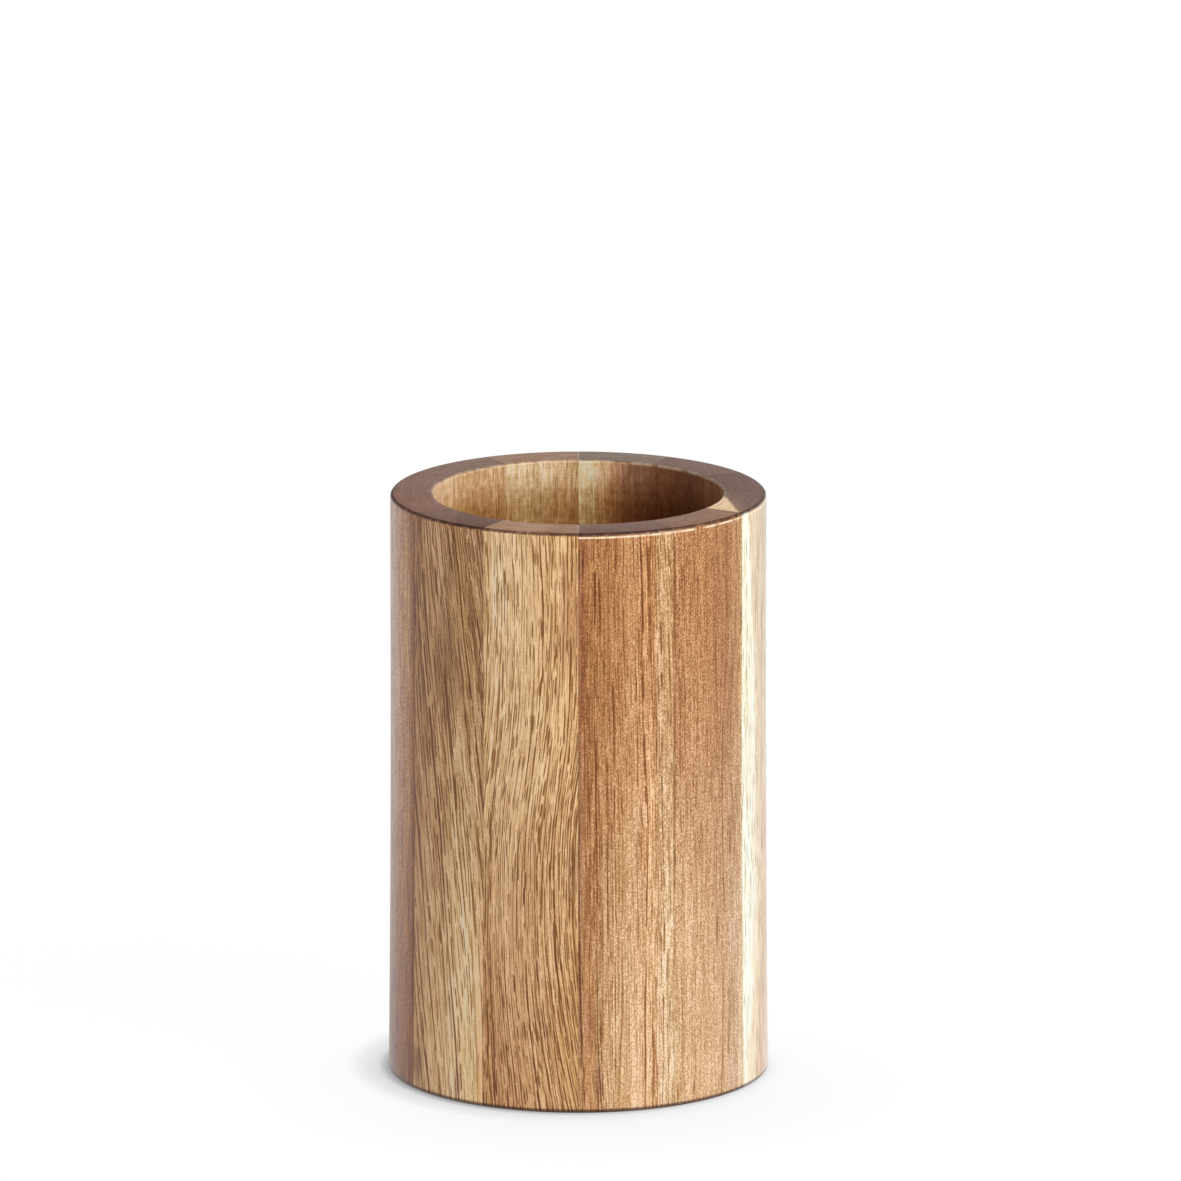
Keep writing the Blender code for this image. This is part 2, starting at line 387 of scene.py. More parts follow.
def figure_tree():
    """Shader group: streaks, fibres, flecks and pores of acacia over a tone, end grain, and eased edges with
    a dark line and a painted highlight.
    """
    tree, given, result = new_tree(
        "ShaderNodeTree",
        "acacia_figure",
        [
            ("Stave", "Vector"), ("Grain", "Vector"), ("Tone", "Color"), ("End Tone", "Color"),
            ("Bore Tone", "Color"), ("Depth", "Float"), ("Shade", "Float"), ("Streak", "Float", 0.15),
            ("Fibre", "Float", 0.26), ("Fleck", "Float", 0.14), ("Cloud", "Float", 0.06),
            ("Pore Size", "Float", 0.27), ("Pore Length", "Float", 9.0), ("Pore Shade", "Float", 0.6),
            ("Fine Pores", "Float", 0.5), ("Bands", "Float", 0.2), ("Lines", "Float", 0.5),
            ("Edge Light", "Float", 0.5), ("Oil Film", "Float", OIL_FILM), ("Seed", "Float"),
        ],
        [("Color", "Color"), ("Height", "Float"), ("Roughness", "Float"), ("Film", "Float")],
    )
    given = given.outputs
    stave, grain, seed = given["Stave"], given["Grain"], given["Seed"]

    # Where a place is: on end grain, in the bore or outside, and how near to an edge.
    # Each mask rises smoothly from 0 at the first number to 1 at the second
    parts = add(tree, "SeparateXYZ", (stave,))
    flat = add(tree, "CombineXYZ", {"X": parts.outputs["X"], "Y": parts.outputs["Y"]})
    radius = add(tree, "VectorMath", (flat,), "LENGTH").outputs["Value"]
    up = parts.outputs["Z"]
    facing = add(tree, "NewGeometry").outputs["Normal"]
    facing = add(tree, "SeparateXYZ", (facing,)).outputs["Z"]
    facing = add(tree, "Math", (facing,), "ABSOLUTE")
    mask = {}
    for name, value, nothing, full in (
        ("end grain", facing, 0.3, 0.8),
        ("bore face", radius, 27.9, 27.4),
        ("outside", radius, 31.0, 32.0),
        ("over the roll", up, 109.3, 109.6),
        ("under the rim", up, 110.0, 109.9),
        ("foot edge", up, 0.95, 0.5),
        ("over the side", up, 108.9, 109.1),
        ("under the roll", up, 109.4, 109.25),
        ("bore roll", up, 109.4, 109.6),
        ("bore lip", radius, 27.5, 27.35),
        ("further down", up, 108.0, 99.5),
    ):
        ends = {"Value": value, "From Min": nothing, "From Max": full}
        mask[name] = add(tree, "MapRange", ends, interpolation_type="SMOOTHSTEP")
    end = mask["end grain"]
    long_grain = add(tree, "Math", (1.0, end), "SUBTRACT")
    bored = add(tree, "Math", (mask["bore face"], long_grain), "MULTIPLY")
    round_rim = add(tree, "Math", (radius, up), "SUBTRACT")
    round_rim = add(tree, "CombineXYZ", {"X": round_rim, "Y": parts.outputs["X"]})

    # Real fibres are 0.02 mm wide and vessels 0.1 to 0.2 mm. Fibres are drawn as bundles, and vessels and
    # flecks up to twice as wide as they are, so that they show. Cells are millimetres: across the rings,
    # along them and up the stave
    noise = {}
    for name, vector, cell, detail, roughness in (
        ("Streak", grain, (0.9, 3.0, 45.0), 2.0, 0.6),
        ("Fibre", grain, (0.33, 0.33, 9.0), 0.0, 0.6),
        ("Fleck", grain, (0.28, 0.28, 0.34), 0.0, 0.6),
        ("Cloud", grain, (4.5, 5.0, 14.0), 2.0, 0.6),
        ("porous", grain, (2.2, 5.0, 26.0), 1.5, 0.5),
        ("band", grain, (0.7, 0.7, 36.0), 0.0, 0.5),
        ("band runs", grain, (0.8, 0.8, 8.0), 1.0, 0.5),
        ("turning", round_rim, (0.32, 6.0, 1.0), 3.0, 0.5),
        ("blotch", stave, (0.9, 0.9, 1.5), 3.0, 0.5),
        ("ragged", stave, (1.6, 1.6, 2.0), 2.0, 0.5),
    ):
        cells = tuple(1 / side for side in cell)
        place = add(tree, "VectorMath", (vector, cells, seed), "MULTIPLY_ADD")
        place = {"Vector": place, "Scale": 1.0, "Detail": detail, "Roughness": roughness}
        noise[name] = add(tree, "TexNoise", place)
    for name, nothing, full in (("porous", 0.2, 0.5), ("band runs", 0.36, 0.52), ("ragged", 0.3, 0.6)):
        ends = {"Value": noise[name], "From Min": nothing, "From Max": full}
        noise[name] = add(tree, "MapRange", ends, interpolation_type="SMOOTHSTEP")

    shade = 0.0
    for name in ("Streak", "Fibre", "Fleck", "Cloud"):
        level = add(tree, "Math", (noise[name], 4.0, -2.0), "MULTIPLY_ADD")
        shade = add(tree, "Math", (level, given[name], shade), "MULTIPLY_ADD")

    # Pores: the open ends of vessels, wide ones and fine ones, thicker in some rings than in others
    pore = 0.0
    for width, length, amount in ((0.42, given["Pore Length"], 1.0), (0.27, 6.0, given["Fine Pores"])):
        height = add(tree, "Math", (1.0, length), "DIVIDE")
        cells = add(tree, "CombineXYZ", {"X": 1 / width, "Y": 1 / width, "Z": height})
        place = add(tree, "VectorMath", (grain, cells, seed), "MULTIPLY_ADD")
        vessel = add(tree, "TexVoronoi", {"Vector": place, "Scale": 1.0}, feature="F1")
        size = add(tree, "SeparateColor", (vessel.outputs["Color"],))
        size = add(tree, "Math", (size, 0.8, 0.5), "MULTIPLY_ADD")
        size = add(tree, "Math", (size, given["Pore Size"]), "MULTIPLY")
        inside = add(tree, "Math", (size, vessel.outputs["Distance"]), "SUBTRACT")
        ends = {"Value": inside, "From Min": 0.0, "From Max": 0.05}
        inside = add(tree, "MapRange", ends, interpolation_type="SMOOTHSTEP")
        inside = add(tree, "Math", (inside, noise["porous"]), "MULTIPLY")
        pore = add(tree, "Math", (inside, amount, pore), "MULTIPLY_ADD")
    shade = add(tree, "Math", (pore, given["Pore Shade"], shade), "MULTIPLY_ADD")

    # Soft-edged bands, where a growth ring comes out at the face
    away = add(tree, "Math", (noise["band"], 0.5), "SUBTRACT")
    away = add(tree, "Math", (away,), "ABSOLUTE")
    ends = {"Value": away, "From Min": 0.055, "From Max": 0.015}
    band = add(tree, "MapRange", ends, interpolation_type="SMOOTHSTEP")
    band = add(tree, "Math", (band, noise["band runs"]), "MULTIPLY")
    shade = add(tree, "Math", (band, given["Bands"], shade), "MULTIPLY_ADD")

    # Cut along their length, rows of vessels run on as thin brown lines, each broken in its own places
    ways = add(tree, "SeparateXYZ", (grain,))
    lines = 0.0
    for spacing, length, half_width, amount in ((0.66, 12.0, 0.075, 1.0), (0.45, 4.5, 0.055, 0.8)):
        cells = (1 / 2.5, 1 / (4.0 + spacing), 1 / 45.0)
        place = add(tree, "VectorMath", (grain, cells, seed), "MULTIPLY_ADD")
        bend = add(tree, "TexNoise", {"Vector": place, "Scale": 1.0, "Detail": 1.0})
        bend = add(tree, "Math", (bend, 3.0), "MULTIPLY")
        count = (ways.outputs["X"], 1 / spacing, bend)
        count = add(tree, "Math", count, "MULTIPLY_ADD")
        number = add(tree, "Math", (count,), "FLOOR")
        chance = add(tree, "Math", (number, spacing), "ADD")
        chance = add(tree, "TexWhiteNoise", {"W": chance}, noise_dimensions="1D")
        picks = add(tree, "SeparateColor", (chance.outputs["Color"],)).outputs
        middle = add(tree, "Math", (number, 0.3), "ADD")
        middle = add(tree, "Math", (picks[0], 0.4, middle), "MULTIPLY_ADD")
        away = add(tree, "Math", (count, middle), "SUBTRACT")
        away = add(tree, "Math", (away, spacing), "MULTIPLY")
        away = add(tree, "Math", (away,), "ABSOLUTE")
        ends = {"Value": away, "From Min": half_width + 0.05, "From Max": half_width - 0.03}
        line = add(tree, "MapRange", ends, interpolation_type="SMOOTHSTEP")
        start = add(tree, "Math", (picks[1], 40.0), "MULTIPLY")
        along = (ways.outputs["Z"], 1 / length, start)
        along = add(tree, "Math", along, "MULTIPLY_ADD")
        row = add(tree, "Math", (number, 3.7), "MULTIPLY")
        place = add(tree, "CombineXYZ", {"X": row, "Z": along})
        whole = add(tree, "TexNoise", {"Vector": place, "Scale": 1.0, "Detail": 1.0})
        ends = {"Value": whole, "From Min": 0.43, "From Max": 0.53}
        whole = add(tree, "MapRange", ends, interpolation_type="SMOOTHSTEP")
        depth = add(tree, "Math", (picks[2], picks[2]), "MULTIPLY")
        depth = add(tree, "Math", (depth, 1.1, 0.15), "MULTIPLY_ADD")
        whole = add(tree, "Math", (whole, depth), "MULTIPLY")
        line = add(tree, "Math", (line, whole), "MULTIPLY")
        lines = add(tree, "Math", (line, amount, lines), "MULTIPLY_ADD")
    sanded = add(tree, "Math", (bored, -0.75, long_grain), "MULTIPLY_ADD")
    lines = add(tree, "Math", (lines, sanded), "MULTIPLY")
    shade = add(tree, "Math", (lines, given["Lines"], shade), "MULTIPLY_ADD")

    # The bore was only turned and oiled, so its figure is duller; it is mottled, and further down it is
    # darkened with painted shade, as in a deep hollow
    shade = add(tree, "Math", (shade, given["Depth"], given["Shade"]), "MULTIPLY_ADD")
    dull = add(tree, "Math", (bored, -0.5, 1.0), "MULTIPLY_ADD")
    shade = add(tree, "Math", (shade, dull), "MULTIPLY")
    shade = add(tree, "Clamp", {"Value": shade, "Min": -0.28, "Max": 1.15})
    turning = add(tree, "Math", (noise["turning"], 3.0, -1.5), "MULTIPLY_ADD")
    bore_marks_and_shade = add(tree, "Math", (noise["blotch"], 0.9, -0.45), "MULTIPLY_ADD")
    bore_marks_and_shade = add(tree, "Math", (mask["further down"], 0.6, bore_marks_and_shade), "MULTIPLY_ADD")
    bore_marks_and_shade = add(tree, "Math", (turning, 0.11, bore_marks_and_shade), "MULTIPLY_ADD")
    long_shade = add(tree, "Math", (bore_marks_and_shade, bored, shade), "MULTIPLY_ADD")
    # End grain drinks more oil, so its tones are dark, and sanding left faint rings on the rim
    end_shade = add(tree, "Math", (shade, 0.45), "MULTIPLY")
    end_shade = add(tree, "Math", (turning, 0.34, end_shade), "MULTIPLY_ADD")
    tones = {0: bored, 6: given["Tone"], 7: given["Bore Tone"]}
    long_tone = add(tree, "Mix", tones, data_type="RGBA").outputs[2]
    darkened = []
    for tone, amount in ((long_tone, long_shade), (given["End Tone"], end_shade)):
        left = add(tree, "VectorMath", (PORE_TINT, amount), "POWER")
        darkened.append(add(tree, "VectorMath", (tone, left), "MULTIPLY"))
    colour = add(tree, "Mix", {0: end, 4: darkened[0], 5: darkened[1]}, data_type="VECTOR").outputs[1]

    # A dark line where the rim rolls over, and one at the foot: there partly dirt taken up from the shelf and
    # partly painted contact shadow where the foot meets the floor
    roll = add(tree, "Math", (mask["over the roll"], mask["under the rim"]), "MULTIPLY")
    uneven = add(tree, "Math", (noise["ragged"], 0.5, 0.5), "MULTIPLY_ADD")
    dark_edge = add(tree, "Math", (roll, uneven, mask["foot edge"]), "MULTIPLY_ADD")
    dark_edge = add(tree, "Math", (dark_edge, mask["outside"]), "MULTIPLY")
    dark_edge = add(tree, "Mix", {0: dark_edge, 4: (1, 1, 1), 5: DARK_EDGE_TINT}, data_type="VECTOR").outputs[1]
    colour = add(tree, "VectorMath", (colour, dark_edge), "MULTIPLY")
    # A painted highlight: a light line just below the rim's roll and on the bore's lip, where the eased edges
    # catch the light
    lip = add(tree, "Math", (mask["bore roll"], mask["bore lip"]), "MULTIPLY")
    lip = add(tree, "Math", (lip, 0.55), "MULTIPLY")
    highlight = (mask["over the side"], mask["under the roll"])
    highlight = add(tree, "Math", highlight, "MULTIPLY")
    highlight = add(tree, "Math", (highlight, mask["outside"], lip), "MULTIPLY_ADD")
    highlight = add(tree, "Math", (highlight, noise["ragged"]), "MULTIPLY")
    highlight = add(tree, "Math", (highlight, given["Edge Light"]), "MULTIPLY")
    tones = {0: highlight, 6: colour, 7: linear(HIGHLIGHT_TONE)}
    colour = add(tree, "Mix", tones, data_type="RGBA").outputs[2]
    # The lightest wood is held to LIGHTEST in red, and keeps its hue
    room = add(tree, "SeparateColor", (colour,))
    room = add(tree, "Math", (LIGHTEST, room), "DIVIDE")
    room = add(tree, "Math", (room, 1.0), "MINIMUM")
    colour = add(tree, "VectorMath", {0: colour, "Scale": room}, "SCALE")

    # Pores and dark figure lie lower. A pore is rougher than the sanded wood, and end grain roughest
    height = add(tree, "Math", (shade, -0.7), "MULTIPLY")
    height = add(tree, "Math", (pore, -0.8, height), "MULTIPLY_ADD")
    rough = add(tree, "Math", (pore, 0.15, 0.38), "MULTIPLY_ADD")
    rough = add(tree, "Mix", {"Factor": end, "A": rough, "B": 0.75})
    # The oil stays on as a film over the sanded side, less in the bore, and sinks into the end grain
    film = add(tree, "Math", (bored, -0.6, 1.0), "MULTIPLY_ADD")
    film = add(tree, "Math", (film, long_grain), "MULTIPLY")
    film = add(tree, "Math", (film, given["Oil Film"]), "MULTIPLY")
    for label, node in (("Color", colour), ("Height", height), ("Roughness", rough), ("Film", film)):
        tree.links.new(node.outputs[0], result.inputs[label])
    return tree


GRAIN_SPACE = grain_space_tree()
VEIN = vein_tree()
PATCH = patch_tree()
FIGURE = figure_tree()


def at_height(points, up):
    """The curve's value at a height, straight between its points."""
    points = sorted(points)
    for (low, a), (high, b) in zip(points, points[1:]):
        if up <= high:
            return a + (b - a) * (up - low) / (high - low)
    return points[-1][1]


def ring_place(across, turn, face=FACE_RADIUS):
    """The ring coordinate of a place on the outer face, or on the bore's, in mm."""
    depth = FACE_RADIUS - math.sqrt(face**2 - across**2)
    return across * math.cos(turn) - depth * math.sin(turn)


def acacia(name, turn, board):
    """Oiled acacia for one stick, whose middle faces turn radians round from the front."""
    material = bpy.data.materials.new(name)
    material.use_nodes = True
    tree = material.node_tree
    shader = tree.nodes["Principled BSDF"]
    place = add(tree, "TexCoord").outputs["Object"]
    in_mm = {"Vector": place, "Rotation": (0, 0, -turn), "Scale": (1 / MM, 1 / MM, 1 / MM)}
    stave = add(tree, "Mapping", in_mm)
    share = add(tree, "SeparateXYZ", (stave,)).outputs["Z"]
    share = add(tree, "Math", (share, HEIGHT / MM), "DIVIDE")

    # How the fibres lean at the stave's two edges, and how its rings drift, over the height
    left_lean, right_lean = board.get("lean", (STRAIGHT, STRAIGHT))
    ring_turn = math.radians(board["ring_turn"])
    grain = {"Stave": stave, "Ring Turn": ring_turn, "Waver": board.get("waver", 0.6), "Seed": board["seed"]}
    for label, points in (
        ("Left Lean", left_lean),
        ("Right Lean", right_lean),
        ("Ring Drift", board.get("drift", STRAIGHT)),
    ):
        curve = add(tree, "FloatCurve", {"Value": share})
        bends = curve.mapping.curves[0].points
        while len(bends) < len(points):
            bends.new(0.5, 0.5)
        for bend, (up, across) in zip(bends, sorted(points)):
            bend.location = (up * MM / HEIGHT, 0.5 + across / LEAN_SPAN)
        curve.mapping.update()
        shift = (curve, LEAN_SPAN, -LEAN_SPAN / 2)
        grain[label] = add(tree, "Math", shift, "MULTIPLY_ADD")
    space = add(tree, "Group", grain, node_tree=GRAIN_SPACE)

    # The tones across the growth rings: on the side, near the foot, on the end grain and in the bore
    ring = add(tree, "SeparateXYZ", (space.outputs["Rings"],))
    ring = {"Value": ring, "From Min": RING_LOW, "From Max": RING_HIGH}
    ring = add(tree, "MapRange", ring)
    foot_stops, foot_amount, foot_reach = board["foot"]
    tones = {}
    for key, face, stops in (
        ("tones", FACE_RADIUS, board["tones"]),
        ("end", RIM_MIDDLE, board["end"]),
        ("bore", BORE_FACE, board.get("bore", board["tones"])),
        ("foot", FACE_RADIUS, foot_stops),
    ):
        tones[key] = add(tree, "ValToRGB", (ring,))
        tones[key].color_ramp.interpolation = "EASE"
        elements = tones[key].color_ramp.elements
        while len(elements) > len(stops):
            elements.remove(elements[-1])
        while len(elements) < len(stops):
            elements.new(0.5)
        placed = sorted((ring_place(across, ring_turn, face), tone) for across, tone in stops)
        for element, (place, tone) in zip(elements, placed):
            element.position = (place - RING_LOW) / (RING_HIGH - RING_LOW)
            element.color = linear(tone)
    fade = {"Value": share, "From Min": 0.0, "From Max": foot_reach, "To Min": foot_amount, "To Max": 0.0}
    fade = add(tree, "MapRange", fade, interpolation_type="SMOOTHSTEP")
    both = {0: fade, 6: tones["tones"], 7: tones["foot"]}
    tone = add(tree, "Mix", both, data_type="RGBA").outputs[2]
    for across, up, reach_across, reach_up, patch_tone, strength in board.get("patches", ()):
        patch = {
            "Tone": tone,
            "Place": space.outputs["Rings"],
            "Centre": (ring_place(across, ring_turn), 0, up),
            "Reach": (reach_across * math.cos(ring_turn), PATCH_DEPTH, reach_up),
            "Patch Tone": linear(patch_tone), "Strength": strength,
        }
        tone = add(tree, "Group", patch, node_tree=PATCH)

    # Single lines that the stave shows
    shade = 0.0
    for across, low, high, half_width, strength in board.get("veins", ()):
        middle = (low + high) / 2
        side = (across + HALF_STAVE) / (2 * HALF_STAVE)
        lean = at_height(left_lean, middle) * (1 - side) + at_height(right_lean, middle) * side
        vein = {
            "Shade": shade,
            "Grain": space.outputs["Grain"],
            "Place": ring_place(across, ring_turn) - lean * math.cos(ring_turn),
            "Half Width": half_width, "Low": low, "High": high, "Strength": strength,
        }
        shade = add(tree, "Group", vein, node_tree=VEIN)

    foot_depth, rim_depth = board.get("depth", (1.0, 1.0))
    figure = {
        "Stave": stave,
        "Grain": space.outputs["Grain"],
        "Tone": tone,
        "End Tone": tones["end"],
        "Bore Tone": tones["bore"],
        "Depth": add(tree, "Mix", {"Factor": share, "A": foot_depth, "B": rim_depth}),
        "Shade": shade,
        "Seed": board["seed"],
        **board.get("figure", {}),
    }
    figure = add(tree, "Group", figure, node_tree=FIGURE)
    bump = {"Height": figure.outputs["Height"], "Strength": 0.7, "Distance": PORE_DEPTH * MM}
    bump = add(tree, "Bump", bump)
    for label, value in (
        ("Base Color", figure.outputs["Color"]),
        ("Roughness", figure.outputs["Roughness"]),
        ("Normal", bump.outputs["Normal"]),
        ("Coat Weight", figure.outputs["Film"]),
    ):
        tree.links.new(value, shader.inputs[label])
    shader.inputs["IOR"].default_value = 1.5
    shader.inputs["Specular IOR Level"].default_value = 0.2
    # Seen along the face, the film shines white
    shader.inputs["Coat Roughness"].default_value = 0.3
    shader.inputs["Coat IOR"].default_value = 1.3
    return material


STRAIGHT = ((0, 0), (110, 0))
